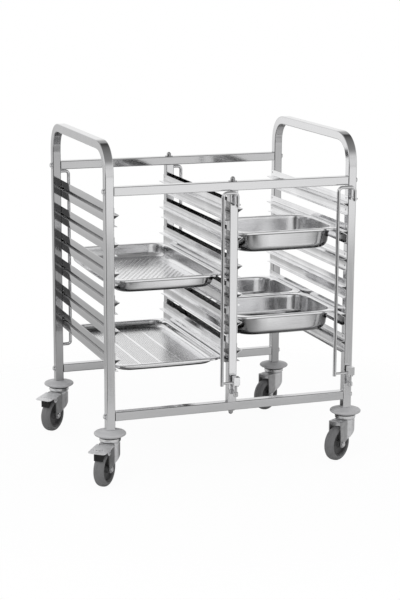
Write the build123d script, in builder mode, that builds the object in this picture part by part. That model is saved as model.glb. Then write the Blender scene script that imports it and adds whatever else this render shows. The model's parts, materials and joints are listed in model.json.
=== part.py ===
"""Tray trolley: two columns of catering pans in a bolted square-tube frame on four swivel castors.

Frame: X to the right, Y to the back (the loading side faces -Y), Z up, origin on the floor below the
centre of the frame. All sizes are in millimetres.
"""
from build123d import *
import os
from math import cos, radians, sin, sqrt

os.makedirs("parts", exist_ok=True)

# Frame tubes
frame_width = 740.0
frame_depth = 580.0
hoop_height = 949.0
hoop_bend = 70.0
tube = 25.0
tube_wall = 1.5
tube_corner = 2.5
leg_bottom = 150.5
bottom_rail_level = 188.5
top_rail_drop = 132.0

# Plugs and bolts of the frame
plug_play = 0.1
plug_length = 20.0
bolt_radius = 4.0
bolt_play = 0.15
bolt_reach = 14.0
bolt_head_radius = 6.5
bolt_head_height = 5.5
bolt_head_round = 2.0
cap_radius = 6.5
cap_height = 12.0
cap_skirt = 6.0
washer_radius = 12.0
washer_thickness = 1.6
rail_washer_radius = 10.0

# Tray runners
tier_count = 6
top_ledge_drop = 63.5
tier_pitch = 80.5
runner_sheet = 1.2
runner_rise = 20.0
rib_depth = 15.0
rib_drop = 9.5
channel_drop = 32.0
channel_flange = 9.5
runner_inset = 1.0

# Rear stop bars
stop_rod_radius = 5.0
stop_standoff = 26.0
stop_bend = 10.0
stop_top_drop = 19.0
stop_bottom = 263.0

# Front latches
latch_rod_radius = 5.0
latch_offset = 16.0
left_latch_span = 42.0
right_latch_span = 50.0
left_latch_shift = 4.0
latch_bend = 12.0
latch_top_drop = 16.0
latch_hook_drop = 56.0
latch_bar_end = 254.0
arm_level = 261.0
arm_radius = 3.5
block_side = 19.0
block_bottom = 254.5
block_height = 23.0
block_chamfer = 1.0
hinge_pin_radius = 4.2
hinge_play = 0.05
hinge_gap = 0.2
ball_radius = 6.8
ball_level = 227.0
ball_round = 2.5
tab_thickness = 4.0
tab_width = 17.0
upper_tab_drop = 47.0

# Castors
stem_plug_length = 25.0
king_radius = 6.0
king_play = 0.05
king_head_radius = 11.0
king_head_height = 5.0
bumper_radius = 45.0
bumper_bottom = 131.7
bumper_rim = 12.5
bumper_rim_round = 4.0
bumper_seat_radius = 19.0
bumper_shoulder_slope = 0.12
cup_radius = 30.0
cup_height = 13.7
cup_round = 4.0
swivel_gap = 0.3
wheel_radius = 50.0
wheel_width = 31.0
tyre_thickness = 13.0
tyre_round = 9.0
hub_radius = 11.0
core_web = 8.0
core_bead = 5.0
core_inset = 1.5
wheel_side_gap = 0.3
fork_gap = 36.0
fork_sheet = 3.0
fork_front = 28.0
fork_skirt = 22.0
fork_foot_radius = 11.0
fork_corner = 7.0
trail = 42.0
axle_radius = 4.0
axle_play = 0.05
axle_head_radius = 7.5
axle_head_height = 4.5
axle_head_round = 1.5

# Castor brakes
brake_pin_along = 60.0
brake_pin_level = 103.0
brake_pin_radius = 3.0
brake_pin_play = 0.05
brake_pin_stand = 1.0
brake_ear_radius = 5.5
crown_trim = 32.0
pedal_start = 33.0
pedal_end = 100.0
pedal_width = 53.0
pedal_start_level = 115.5
pedal_tip_level = 110.0
pedal_sheet = 2.0
pedal_corner = 9.0
cheek_gap = 0.5
cheek_radius = 8.0
pedal_hole_radius = 2.2
pedal_hole_count = 5
pedal_hole_pitch = 8.5
pedal_hole_along = 76.0
shoe_start = 66.0
shoe_end = 84.0
shoe_width = 27.0
shoe_gap = 3.5

# Catering pans: the standard module is 325 wide, which leaves this play, and 530 or 265 long
pan_side_play = 2.55
full_length = 530.0
half_length = 265.0
pan_sheet = 0.9
pan_lip = 6.0
rim_band = 13.0
rim_corner = 36.0
body_corner = 48.0
body_draft = 5.0
deep_tray_depth = 40.0
flat_tray_depth = 20.0
half_pan_depth = 62.0
deep_tray_round = 16.0
flat_tray_round = 10.0
half_pan_round = 20.0
pan_front = 26.0
pan_pair_gap = 3.0
seat_gap = 0.3
deep_tray_tier = 3
flat_tray_tier = 6
upper_pan_tier = 2
lower_pan_tier = 5

# Heading of each castor: how far its wheel trails round from the front towards -X, in degrees
castor_heading = {
    "front_left": 39.0,
    "rear_left": 45.0,
    "front_right": 57.0,
    "rear_right": 58.0,
}

# Values worked out from the sizes above
leg_x = frame_width / 2 - tube / 2
leg_y = frame_depth / 2 - tube / 2
front_face = -frame_depth / 2
leg_inner = frame_width / 2 - tube
rail_length = 2 * leg_inner
tube_bore = tube - 2 * tube_wall
bore_corner = tube_corner - tube_wall
plug_side = tube_bore - 2 * plug_play
plug_corner = bore_corner
top_rail_level = hoop_height - top_rail_drop
top_ledge_level = top_rail_level - top_ledge_drop
stop_top = top_rail_level - stop_top_drop
latch_top = top_rail_level - latch_top_drop
latch_hook_end = top_rail_level - latch_hook_drop
upper_tab_level = top_rail_level - upper_tab_drop
post_bottom = bottom_rail_level + tube / 2
post_top = top_rail_level - tube / 2
column_x = (leg_inner + tube / 2) / 2
column_clear = leg_inner - tube / 2 - 2 * runner_sheet
pan_width = column_clear - 2 * pan_side_play
rail_levels = (bottom_rail_level, top_rail_level)
frame_sides = {"left": -1, "right": 1}
frame_rows = {"front": -1, "rear": 1}


def keep(piece, name):
    """Names a finished piece and writes it."""
    piece.part.label = name
    export_step(piece.part, f"parts/{name}.step")


def ledge_level(tier):
    """Height of the rib's flat top in a tier, counted from 1 at the top."""
    return top_ledge_level - (tier - 1) * tier_pitch


def dome_middle(radius, height):
    """Half-way radius on a spherical dome, and the height there above the dome's base."""
    ball = (radius**2 + height**2) / (2 * height)
    half_way = radius / 2
    return half_way, sqrt(ball**2 - half_way**2) - (ball - height)


def tube_section():
    """Square tube with rounded corners, drawn in the sketch that calls it."""
    RectangleRounded(tube, tube, tube_corner)
    RectangleRounded(tube_bore, tube_bore, bore_corner, mode=Mode.SUBTRACT)


# End hoops: one tube bent into an inverted U, drilled across for the rail bolts
for side_name, side in frame_sides.items():
    hoop_plane = Plane.YZ.offset(side * leg_x)
    hoop_crown = hoop_height - tube / 2
    with BuildPart() as hoop:
        with BuildLine(hoop_plane):
            FilletPolyline(
                (-leg_y, leg_bottom), (-leg_y, hoop_crown), (leg_y, hoop_crown), (leg_y, leg_bottom),
                radius=hoop_bend,
            )
        with BuildSketch(Plane(origin=(side * leg_x, -leg_y, leg_bottom), x_dir=(1, 0, 0), z_dir=(0, 0, 1))):
            tube_section()
        sweep()
        with BuildSketch(hoop_plane):
            with Locations(*[(y, z) for y in (-leg_y, leg_y) for z in rail_levels]):
                Circle(bolt_radius + bolt_play)
        extrude(amount=tube, both=True, mode=Mode.SUBTRACT)
    keep(hoop, f"end_hoop_{side_name}")

# Cross rails: straight tubes between the legs, drilled upright for the post bolts
for row_name, row in frame_rows.items():
    for level_name, level in zip(("bottom", "top"), rail_levels):
        with BuildPart() as rail:
            with BuildSketch(Plane(origin=(0, row * leg_y, level), x_dir=(0, 1, 0), z_dir=(1, 0, 0))):
                tube_section()
            extrude(amount=rail_length / 2, both=True)
            with BuildSketch(Plane.XY.offset(level)):
                with Locations((0, row * leg_y)):
                    Circle(bolt_radius + bolt_play)
            extrude(amount=tube, both=True, mode=Mode.SUBTRACT)
        keep(rail, f"{row_name}_{level_name}_rail")

# Centre posts: straight tubes that stand on the bottom rails
for row_name, row in frame_rows.items():
    with BuildPart() as post:
        with BuildSketch(Plane(origin=(0, row * leg_y, post_bottom), x_dir=(1, 0, 0), z_dir=(0, 0, 1))):
            tube_section()
        extrude(amount=post_top - post_bottom)
    keep(post, f"{row_name}_centre_post")

# Tube plugs: square nuts in the ends of the rails and posts
with BuildPart() as tube_plugs:
    for side in frame_sides.values():
        for row in frame_rows.values():
            for level in rail_levels:
                rail_end = (side * leg_inner, row * leg_y, level)
                with BuildSketch(Plane(origin=rail_end, x_dir=(0, 1, 0), z_dir=(-side, 0, 0))):
                    RectangleRounded(plug_side, plug_side, plug_corner)
                    Circle(bolt_radius + bolt_play, mode=Mode.SUBTRACT)
                extrude(amount=plug_length)
    for row in frame_rows.values():
        for end, inward in ((post_bottom, 1), (post_top, -1)):
            with BuildSketch(Plane(origin=(0, row * leg_y, end), x_dir=(1, 0, 0), z_dir=(0, 0, inward))):
                RectangleRounded(plug_side, plug_side, plug_corner)
                Circle(bolt_radius + bolt_play, mode=Mode.SUBTRACT)
            extrude(amount=plug_length)
keep(tube_plugs, "tube_plugs")

# Rail bolts: domed heads on washers outside the legs, shanks through the leg into the plug
with BuildPart() as rail_bolts:
    for side in frame_sides.values():
        for row in frame_rows.values():
            for level in rail_levels:
                bolt_seat = (side * frame_width / 2, row * leg_y, level)
                with BuildSketch(Plane(origin=bolt_seat, x_dir=(side, 0, 0), z_dir=(0, -side, 0))):
                    with BuildLine():
                        shank_end = -(tube + bolt_reach)
                        head_top = washer_thickness + bolt_head_height
                        head_edge = head_top - bolt_head_round
                        Polyline(
                            (head_top, 0), (shank_end, 0), (shank_end, bolt_radius), (0, bolt_radius),
                            (0, rail_washer_radius), (washer_thickness, rail_washer_radius),
                            (washer_thickness, bolt_head_radius), (head_edge, bolt_head_radius),
                        )
                        half_way, rise = dome_middle(bolt_head_radius, bolt_head_round)
                        ThreePointArc(
                            (head_edge, bolt_head_radius), (head_edge + rise, half_way), (head_top, 0),
                        )
                    make_face()
                revolve(axis=Axis(bolt_seat, (side, 0, 0)))
keep(rail_bolts, "rail_bolts")

# Post bolts: cap and washer outside the rail, shank through the rail into the post's plug
with BuildPart() as post_bolts:
    for row in frame_rows.values():
        for level, outward in ((bottom_rail_level, -1), (top_rail_level, 1)):
            cap_seat = (0, row * leg_y, level + outward * tube / 2)
            with BuildSketch(Plane(origin=cap_seat, x_dir=(1, 0, 0), z_dir=(0, -outward, 0))):
                with BuildLine():
                    shank_end = -(tube + bolt_reach)
                    cap_base = washer_thickness
                    cap_shoulder = cap_base + cap_skirt
                    cap_crown = cap_base + cap_height
                    Polyline(
                        (0, cap_crown), (0, shank_end), (bolt_radius, shank_end), (bolt_radius, 0),
                        (washer_radius, 0), (washer_radius, cap_base), (cap_radius, cap_base),
                        (cap_radius, cap_shoulder),
                    )
                    half_way, rise = dome_middle(cap_radius, cap_height - cap_skirt)
                    ThreePointArc(
                        (cap_radius, cap_shoulder), (half_way, cap_shoulder + rise), (0, cap_crown),
                    )
                make_face()
            revolve(axis=Axis(cap_seat, (0, 0, 1)))
keep(post_bolts, "post_bolts")

# Tray runners: folded sheet, web flat on the tubes, V-shaped rib above and a flange below
rib_slope = Vector(rib_depth - runner_sheet, rib_drop).normalized()
groove_shift = runner_sheet / rib_slope.X
groove_mouth = rib_drop + runner_sheet * rib_slope.Y / rib_slope.X - groove_shift
groove_apex = (groove_mouth - runner_sheet) * rib_slope.X / rib_slope.Y
runner_outline = [
    (0, runner_rise), (runner_sheet, runner_rise), (runner_sheet, 0), (rib_depth, 0),
    (runner_sheet, -rib_drop), (runner_sheet, -channel_drop), (channel_flange, -channel_drop),
    (channel_flange, -channel_drop - runner_sheet), (0, -channel_drop - runner_sheet),
    (0, -groove_mouth), (groove_apex, -runner_sheet), (0, -runner_sheet),
]
runner_rows = {
    "left": (-leg_inner, 1),
    "centre_left": (-tube / 2, -1),
    "centre_right": (tube / 2, 1),
    "right": (leg_inner, -1),
}
for row_name, (face_x, into_bay) in runner_rows.items():
    with BuildPart() as runners:
        with BuildSketch(Plane(origin=(face_x, 0, 0), x_dir=(into_bay, 0, 0), z_dir=(0, -into_bay, 0))):
            with Locations(*[(0, ledge_level(tier)) for tier in range(1, tier_count + 1)]):
                Polygon(*runner_outline, align=None)
        extrude(amount=frame_depth / 2 - runner_inset, both=True)
    keep(runners, f"{row_name}_runners")

# Rear stop bars: rod staples that keep a tray from sliding out at the back
for column_name, face_x in (("left", -leg_inner), ("right", tube / 2)):
    with BuildPart() as stop_bar:
        with BuildLine(Plane.XZ.offset(-leg_y)):
            FilletPolyline(
                (face_x, stop_bottom), (face_x + stop_standoff, stop_bottom),
                (face_x + stop_standoff, stop_top), (face_x, stop_top),
                radius=stop_bend,
            )
        with BuildSketch(Plane(origin=(face_x, leg_y, stop_bottom), x_dir=(0, 1, 0), z_dir=(1, 0, 0))):
            Circle(stop_rod_radius)
        sweep()
    keep(stop_bar, f"{column_name}_rear_stop")

# Front latches: each swings on a post about an upright axis and bars the column to its left
latch_y = front_face - latch_offset
latch_nuts_at = []
for column_name, axis_x, latch_span in (
    ("left", left_latch_shift, left_latch_span), ("right", leg_x, right_latch_span),
):
    bar_x = axis_x - latch_span
    block_top = block_bottom + block_height
    tab_top = block_bottom - hinge_gap
    latch_nuts_at.append((axis_x, latch_y))

    # Bar: rod with a hook at the top whose short end lies on the hinge axis
    with BuildPart() as latch_bar:
        with BuildLine(Plane.XZ.offset(-latch_y)):
            FilletPolyline(
                (bar_x, latch_bar_end), (bar_x, latch_top), (axis_x, latch_top), (axis_x, latch_hook_end),
                radius=latch_bend,
            )
        with BuildSketch(Plane(origin=(bar_x, latch_y, latch_bar_end), x_dir=(1, 0, 0), z_dir=(0, 0, 1))):
            Circle(latch_rod_radius)
        sweep()
    keep(latch_bar, f"{column_name}_latch_bar")

    # Arm: pin from the bar to the block, its end coped to the round bar
    with BuildPart() as latch_arm:
        with BuildSketch(Plane(origin=(bar_x, latch_y, arm_level), x_dir=(0, 1, 0), z_dir=(1, 0, 0))):
            Circle(arm_radius)
        extrude(amount=latch_span - block_side / 2)
        with BuildSketch(Plane.XY.offset(arm_level - 2 * arm_radius)):
            with Locations((bar_x, latch_y)):
                Circle(latch_rod_radius)
        extrude(amount=4 * arm_radius, mode=Mode.SUBTRACT)
    keep(latch_arm, f"{column_name}_latch_arm")

    # Block: bored for the hinge pin
    with BuildPart() as latch_block:
        with BuildSketch(Plane.XY.offset(block_bottom)):
            with Locations((axis_x, latch_y)):
                Rectangle(block_side, block_side)
                Circle(hinge_pin_radius + hinge_play, mode=Mode.SUBTRACT)
        extrude(amount=block_height)
        chamfer(latch_block.edges().filter_by(Axis.Z).filter_by(GeomType.LINE), length=block_chamfer)
    keep(latch_block, f"{column_name}_latch_block")

    # Hinge pin: stands in the lower tab, with the block turning on its upper end
    with BuildPart() as hinge_pin:
        with BuildSketch(Plane.XY.offset(ball_level)):
            with Locations((axis_x, latch_y)):
                Circle(hinge_pin_radius)
        extrude(amount=block_top - ball_level)
    keep(hinge_pin, f"{column_name}_latch_pin")

    # Tabs: two drilled plates on the face of the post
    with BuildPart() as latch_tabs:
        for tab_level, pin_radius in ((tab_top, hinge_pin_radius), (upper_tab_level, latch_rod_radius)):
            with BuildSketch(Plane.XY.offset(tab_level)):
                with Locations((axis_x, latch_y)):
                    Circle(tab_width / 2)
                with Locations((axis_x, front_face - latch_offset / 2)):
                    Rectangle(tab_width, latch_offset)
                with Locations((axis_x, latch_y)):
                    Circle(pin_radius + hinge_play, mode=Mode.SUBTRACT)
            extrude(amount=-tab_thickness)
    keep(latch_tabs, f"{column_name}_latch_tabs")

# Ball nuts on the lower ends of the hinge pins, bored to seat on them
with BuildPart() as latch_nuts:
    for axis_x, axis_y in latch_nuts_at:
        nut_middle = (axis_x, axis_y, ball_level)
        with BuildSketch(Plane(origin=nut_middle, x_dir=(1, 0, 0), z_dir=(0, -1, 0))):
            RectangleRounded(2 * ball_radius, 2 * ball_radius, ball_round)
            with Locations((-ball_radius, 0)):
                Rectangle(2 * ball_radius, 2 * ball_radius, mode=Mode.SUBTRACT)
            with Locations((0, ball_radius)):
                Rectangle(2 * hinge_pin_radius, 2 * ball_radius, mode=Mode.SUBTRACT)
        revolve(axis=Axis(nut_middle, (0, 0, 1)))
keep(latch_nuts, "latch_nuts")

# Castor stems: square plug in the leg, king shank below it with a head under the fork
castor_places = {
    f"{row_name}_{side_name}": (side * leg_x, row * leg_y)
    for side_name, side in frame_sides.items()
    for row_name, row in frame_rows.items()
}
cup_bottom = bumper_bottom - cup_height
crown_top = cup_bottom - swivel_gap
crown_bottom = crown_top - fork_sheet
king_head_top = crown_bottom - swivel_gap
with BuildPart() as castor_stems:
    for place in castor_places.values():
        with BuildSketch(Plane.XY.offset(leg_bottom)):
            with Locations(place):
                RectangleRounded(plug_side, plug_side, plug_corner)
        extrude(amount=stem_plug_length)
        with BuildSketch(Plane.XY.offset(king_head_top)):
            with Locations(place):
                Circle(king_radius)
        extrude(amount=leg_bottom - king_head_top)
        with BuildSketch(Plane.XY.offset(king_head_top)):
            with Locations(place):
                Circle(king_head_radius)
        extrude(amount=-king_head_height)
keep(castor_stems, "castor_stems")

# Bumper discs: domed from a thick rim up to a seat under the leg
with BuildPart() as bumpers:
    for place_x, place_y in castor_places.values():
        with BuildSketch(Plane(origin=(place_x, place_y, 0), x_dir=(1, 0, 0), z_dir=(0, -1, 0))):
            with BuildLine():
                rim_top = bumper_bottom + bumper_rim
                Polyline(
                    (bumper_seat_radius, leg_bottom), (king_radius + bolt_play, leg_bottom),
                    (king_radius + bolt_play, bumper_bottom),
                    (bumper_radius - bumper_rim_round, bumper_bottom),
                    (bumper_radius, bumper_bottom + bumper_rim_round),
                    (bumper_radius, rim_top - bumper_rim_round),
                    (bumper_radius - bumper_rim_round, rim_top),
                )
                TangentArc(
                    (bumper_seat_radius, leg_bottom), (bumper_radius - bumper_rim_round, rim_top),
                    tangent=(1, -bumper_shoulder_slope), tangent_from_first=True,
                )
            make_face()
        revolve(axis=Axis((place_x, place_y, 0), (0, 0, 1)))
keep(bumpers, "castor_bumpers")

# Swivel cups: pressed housings of the ball race, under the bumpers
with BuildPart() as cups:
    for place in castor_places.values():
        with BuildSketch(Plane.XY.offset(cup_bottom)):
            with Locations(place):
                Circle(cup_radius)
        extrude(amount=cup_height)
    fillet(cups.edges().group_by(Axis.Z)[0], radius=cup_round)
    for place in castor_places.values():
        with BuildSketch(Plane.XY.offset(cup_bottom)):
            with Locations(place):
                Circle(king_radius + bolt_play)
        extrude(amount=cup_height, mode=Mode.SUBTRACT)
keep(cups, "swivel_cups")

# Castors: fork, axle, wheel core and tyre on each, and a brake on the two left ones
fork_outer = fork_gap / 2 + fork_sheet
skirt_bottom = crown_top - fork_skirt
fork_end = trail + fork_foot_radius
hub_half = fork_gap / 2 - wheel_side_gap
core_radius = wheel_radius - tyre_thickness
ear_top = brake_pin_level + brake_ear_radius
ear_bottom = brake_pin_level - brake_ear_radius
cheek_inner = fork_outer + cheek_gap
cheek_outer = cheek_inner + pedal_sheet
pedal_fall = (pedal_start_level - pedal_tip_level) / (pedal_end - pedal_start)


def pedal_top(along):
    """Height of the pedal's upper face at a distance from the castor's axis."""
    return pedal_start_level - pedal_fall * (along - pedal_start)


for castor_name, (place_x, place_y) in castor_places.items():
    heading = radians(castor_heading[castor_name])
    trail_way = Vector(-sin(heading), -cos(heading), 0)
    axle_way = Vector(cos(heading), -sin(heading), 0)
    castor_foot = Vector(place_x, place_y, 0)
    wheel_middle = castor_foot + trail_way * trail + Vector(0, 0, wheel_radius)
    ground_plane = Plane(origin=castor_foot, x_dir=trail_way, z_dir=(0, 0, 1))
    side_plane = Plane(origin=castor_foot, x_dir=trail_way, z_dir=-axle_way)
    wheel_plane = Plane(origin=wheel_middle, x_dir=axle_way, z_dir=trail_way)
    axle_axis = Axis(wheel_middle, axle_way)
    braked = castor_name.endswith("left")

    # Fork: pressed sheet with a crown, two cheeks that taper to the axle and a short front skirt
    with BuildPart() as fork:
        with BuildSketch(side_plane):
            with BuildLine():
                Polyline(
                    (trail - fork_foot_radius, wheel_radius), (-fork_front, skirt_bottom),
                    (-fork_front, crown_top),
                )
                if braked:
                    Polyline(
                        (-fork_front, crown_top), (crown_trim, crown_top), (crown_trim, ear_top),
                        (brake_pin_along, ear_top),
                    )
                    ThreePointArc(
                        (brake_pin_along, ear_top), (brake_pin_along + brake_ear_radius, brake_pin_level),
                        (brake_pin_along, ear_bottom),
                    )
                    Polyline((brake_pin_along, ear_bottom), (fork_end, ear_bottom), (fork_end, wheel_radius))
                else:
                    Polyline((-fork_front, crown_top), (fork_end, crown_top), (fork_end, wheel_radius))
                ThreePointArc(
                    (fork_end, wheel_radius), (trail, wheel_radius - fork_foot_radius),
                    (trail - fork_foot_radius, wheel_radius),
                )
            make_face()
        extrude(amount=fork_outer, both=True)
        front_corners = fork.edges().filter_by(Axis.Z).sort_by(Axis(castor_foot, trail_way))[:2]
        fillet(front_corners, radius=fork_corner)
        with BuildSketch(side_plane):
            with BuildLine():
                room_front = fork_sheet - fork_front
                room_back = fork_end + 2 * fork_foot_radius
                Polyline(
                    (room_front, 0), (room_front, crown_bottom), (room_back, crown_bottom), (room_back, 0),
                    close=True,
                )
            make_face()
        extrude(amount=fork_gap / 2, both=True, mode=Mode.SUBTRACT)
        with BuildSketch(ground_plane.offset(crown_bottom)):
            Circle(king_radius + king_play)
        extrude(amount=fork_sheet, mode=Mode.SUBTRACT)
        with BuildSketch(side_plane):
            with Locations((trail, wheel_radius)):
                Circle(axle_radius + axle_play)
            if braked:
                with Locations((brake_pin_along, brake_pin_level)):
                    Circle(brake_pin_radius + brake_pin_play)
        extrude(amount=fork_outer, both=True, mode=Mode.SUBTRACT)
    keep(fork, f"{castor_name}_fork")

    # Axle: bolt across the fork, with a rounded head and a like nut outside its cheeks
    with BuildPart() as axle:
        with BuildSketch(wheel_plane):
            with BuildLine():
                head_end = fork_outer + axle_head_height
                Polyline(
                    (-head_end, 0), (head_end, 0), (head_end, axle_head_radius - axle_head_round),
                    (head_end - axle_head_round, axle_head_radius), (fork_outer, axle_head_radius),
                    (fork_outer, axle_radius), (-fork_outer, axle_radius), (-fork_outer, axle_head_radius),
                    (axle_head_round - head_end, axle_head_radius),
                    (-head_end, axle_head_radius - axle_head_round),
                    close=True,
                )
            make_face()
        revolve(axis=axle_axis)
    keep(axle, f"{castor_name}_axle")

    # Wheel core: hub that runs on the axle, thin web and a bead under the tyre
    with BuildPart() as core:
        with BuildSketch(wheel_plane):
            with Locations((0, (axle_radius + axle_play + hub_radius) / 2)):
                Rectangle(2 * hub_half, hub_radius - axle_radius - axle_play)
            with Locations((0, (hub_radius + core_radius) / 2)):
                Rectangle(core_web, core_radius - hub_radius)
            with Locations((0, core_radius - core_bead / 2)):
                Rectangle(wheel_width - 2 * core_inset, core_bead)
        revolve(axis=axle_axis)
    keep(core, f"{castor_name}_wheel_core")

    # Tyre: solid ring with a rounded tread
    with BuildPart() as tyre:
        with BuildSketch(wheel_plane) as tread:
            with Locations((0, core_radius + tyre_thickness / 2)):
                Rectangle(wheel_width, tyre_thickness)
            fillet(tread.vertices().group_by(Axis.Y)[-1], radius=tyre_round)
        revolve(axis=axle_axis)
    keep(tyre, f"{castor_name}_tyre")

    if not braked:
        continue

    # Brake pin: across the ears of the fork and the cheeks of the pedal
    with BuildPart() as brake_pin:
        with BuildSketch(side_plane):
            with Locations((brake_pin_along, brake_pin_level)):
                Circle(brake_pin_radius)
        extrude(amount=cheek_outer + brake_pin_stand, both=True)
    keep(brake_pin, f"{castor_name}_brake_pin")

    # Brake pedal: sloping plate with a row of holes, carried by two cheeks on the pin
    with BuildPart() as pedal:
        with BuildSketch(side_plane):
            with BuildLine():
                Polyline(
                    (pedal_start, pedal_top(pedal_start)), (pedal_end, pedal_top(pedal_end)),
                    (pedal_end, pedal_top(pedal_end) - pedal_sheet),
                    (pedal_start, pedal_top(pedal_start) - pedal_sheet),
                    close=True,
                )
            make_face()
        extrude(amount=pedal_width / 2, both=True)
        tip_corners = pedal.edges().filter_by(Axis.Z).sort_by(Axis(castor_foot, trail_way))[-2:]
        fillet(tip_corners, radius=pedal_corner)
        with BuildSketch(ground_plane.offset(pedal_tip_level)):
            with Locations((pedal_hole_along, 0)):
                with GridLocations(0, pedal_hole_pitch, 1, pedal_hole_count):
                    Circle(pedal_hole_radius)
        extrude(amount=pedal_start_level - pedal_tip_level, both=True, mode=Mode.SUBTRACT)
        for cheek_side in (-1, 1):
            cheek_plane = side_plane.offset(cheek_side * cheek_inner)
            with BuildSketch(cheek_plane):
                with BuildLine():
                    cheek_start = brake_pin_along - cheek_radius
                    cheek_end = brake_pin_along + cheek_radius
                    Polyline(
                        (cheek_end, brake_pin_level), (cheek_end, pedal_top(cheek_end) - pedal_sheet / 2),
                        (cheek_start, pedal_top(cheek_start) - pedal_sheet / 2),
                        (cheek_start, brake_pin_level),
                    )
                    ThreePointArc(
                        (cheek_start, brake_pin_level), (brake_pin_along, brake_pin_level - cheek_radius),
                        (cheek_end, brake_pin_level),
                    )
                make_face()
                with Locations((brake_pin_along, brake_pin_level)):
                    Circle(brake_pin_radius + brake_pin_play, mode=Mode.SUBTRACT)
            extrude(amount=cheek_side * pedal_sheet)
    keep(pedal, f"{castor_name}_brake_pedal")

    # Brake shoe: block under the pedal, hollowed to the tyre
    with BuildPart() as shoe:
        with BuildSketch(side_plane):
            with BuildLine():
                Polyline(
                    (shoe_start, wheel_radius), (shoe_start, pedal_top(shoe_start) - pedal_sheet),
                    (shoe_end, pedal_top(shoe_end) - pedal_sheet), (shoe_end, wheel_radius),
                    close=True,
                )
            make_face()
            with Locations((trail, wheel_radius)):
                Circle(wheel_radius + shoe_gap, mode=Mode.SUBTRACT)
        extrude(amount=shoe_width / 2, both=True)
    keep(shoe, f"{castor_name}_brake_shoe")


def drawn_body(middle, width, length, corner, depth, bottom):
    """Block with sloping walls, rounded corners and a rounded bottom edge, hung from its upper face."""
    with BuildPart() as body:
        with BuildSketch(Plane(origin=middle, x_dir=(1, 0, 0), z_dir=(0, 0, -1))):
            RectangleRounded(width, length, corner)
        extrude(amount=depth, taper=body_draft)
        fillet(body.edges().group_by(Axis.Z)[0], radius=bottom)
    return body.part


def make_pan(name, centre_x, front, length, depth, bottom_round, seat_level):
    """Catering pan: drawn body with sloping walls, flat rim and a lip that rests on the runners."""
    rim_top = seat_level + seat_gap + pan_lip
    middle_y = front_face + front + length / 2
    middle = (centre_x, middle_y, rim_top)
    body_width = pan_width - 2 * rim_band
    body_length = length - 2 * rim_band
    outside = drawn_body(middle, body_width, body_length, body_corner, depth, bottom_round)
    inside = drawn_body(
        middle, body_width - 2 * pan_sheet, body_length - 2 * pan_sheet, body_corner - pan_sheet,
        depth - pan_sheet, bottom_round - pan_sheet,
    )
    with BuildPart() as pan:
        add(outside)
        with BuildSketch(Plane(origin=middle, x_dir=(1, 0, 0), z_dir=(0, 0, -1))):
            RectangleRounded(pan_width, length, rim_corner)
        extrude(amount=pan_sheet)
        with BuildSketch(Plane(origin=middle, x_dir=(1, 0, 0), z_dir=(0, 0, -1))):
            RectangleRounded(pan_width, length, rim_corner)
            RectangleRounded(
                pan_width - 2 * pan_sheet, length - 2 * pan_sheet, rim_corner - pan_sheet, mode=Mode.SUBTRACT,
            )
        extrude(amount=pan_lip)
        add(inside, mode=Mode.SUBTRACT)
    keep(pan, name)


# Load: full-size trays run in the channels on the left, half-size pans sit on the ribs on the right
second_pan_front = pan_front + half_length + pan_pair_gap
for tray_name, tray_tier, tray_depth, tray_round in (
    ("deep_tray", deep_tray_tier, deep_tray_depth, deep_tray_round),
    ("flat_tray", flat_tray_tier, flat_tray_depth, flat_tray_round),
):
    tray_seat = ledge_level(tray_tier) - channel_drop
    make_pan(tray_name, -column_x, pan_front, full_length, tray_depth, tray_round, tray_seat)
for pan_name, pan_tier, pan_place in (
    ("upper_pan", upper_pan_tier, pan_front),
    ("lower_front_pan", lower_pan_tier, pan_front),
    ("lower_rear_pan", lower_pan_tier, second_pan_front),
):
    pan_seat = ledge_level(pan_tier)
    make_pan(pan_name, column_x, pan_place, half_length, half_pan_depth, half_pan_round, pan_seat)
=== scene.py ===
import json
import math
import bmesh
import bpy
import numpy as np
from mathutils import Matrix, Vector
from mathutils.geometry import tessellate_polygon


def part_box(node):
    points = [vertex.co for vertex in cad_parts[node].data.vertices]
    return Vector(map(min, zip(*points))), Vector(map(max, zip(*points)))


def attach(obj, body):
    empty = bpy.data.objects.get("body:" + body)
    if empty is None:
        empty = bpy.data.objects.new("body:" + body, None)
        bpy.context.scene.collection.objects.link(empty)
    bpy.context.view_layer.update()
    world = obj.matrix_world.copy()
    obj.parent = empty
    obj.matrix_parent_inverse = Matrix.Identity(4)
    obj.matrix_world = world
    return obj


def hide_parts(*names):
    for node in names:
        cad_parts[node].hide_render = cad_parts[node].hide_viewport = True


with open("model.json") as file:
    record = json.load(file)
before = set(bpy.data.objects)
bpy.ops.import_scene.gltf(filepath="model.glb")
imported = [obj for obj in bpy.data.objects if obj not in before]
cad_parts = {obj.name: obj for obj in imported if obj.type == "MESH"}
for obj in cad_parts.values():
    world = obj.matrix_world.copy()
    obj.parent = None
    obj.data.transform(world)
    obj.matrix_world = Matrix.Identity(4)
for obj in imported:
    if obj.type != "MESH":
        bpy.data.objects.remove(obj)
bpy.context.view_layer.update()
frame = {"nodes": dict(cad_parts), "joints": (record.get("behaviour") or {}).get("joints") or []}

nodes = frame["nodes"]
mm = 0.001
print("frame loaded:", len(nodes), "nodes")


# Shader helpers

def newMaterial(name):
    mat = bpy.data.materials.new(name)
    mat.use_nodes = True
    tree = mat.node_tree
    return mat, tree, tree.nodes["Principled BSDF"]


def feed(tree, node, given):
    # for each named or numbered input, a socket to link or a plain value
    for label, value in dict(given).items():
        if isinstance(value, bpy.types.NodeSocket):
            tree.links.new(value, node.inputs[label])
        else:
            node.inputs[label].default_value = value


def addNode(tree, kind, given=(), **settings):
    node = tree.nodes.new(kind)
    for key, value in settings.items():
        setattr(node, key, value)
    feed(tree, node, given)
    return node


def addMath(tree, operation, *numbers):
    return addNode(tree, "ShaderNodeMath", enumerate(numbers), operation=operation).outputs[0]


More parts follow.
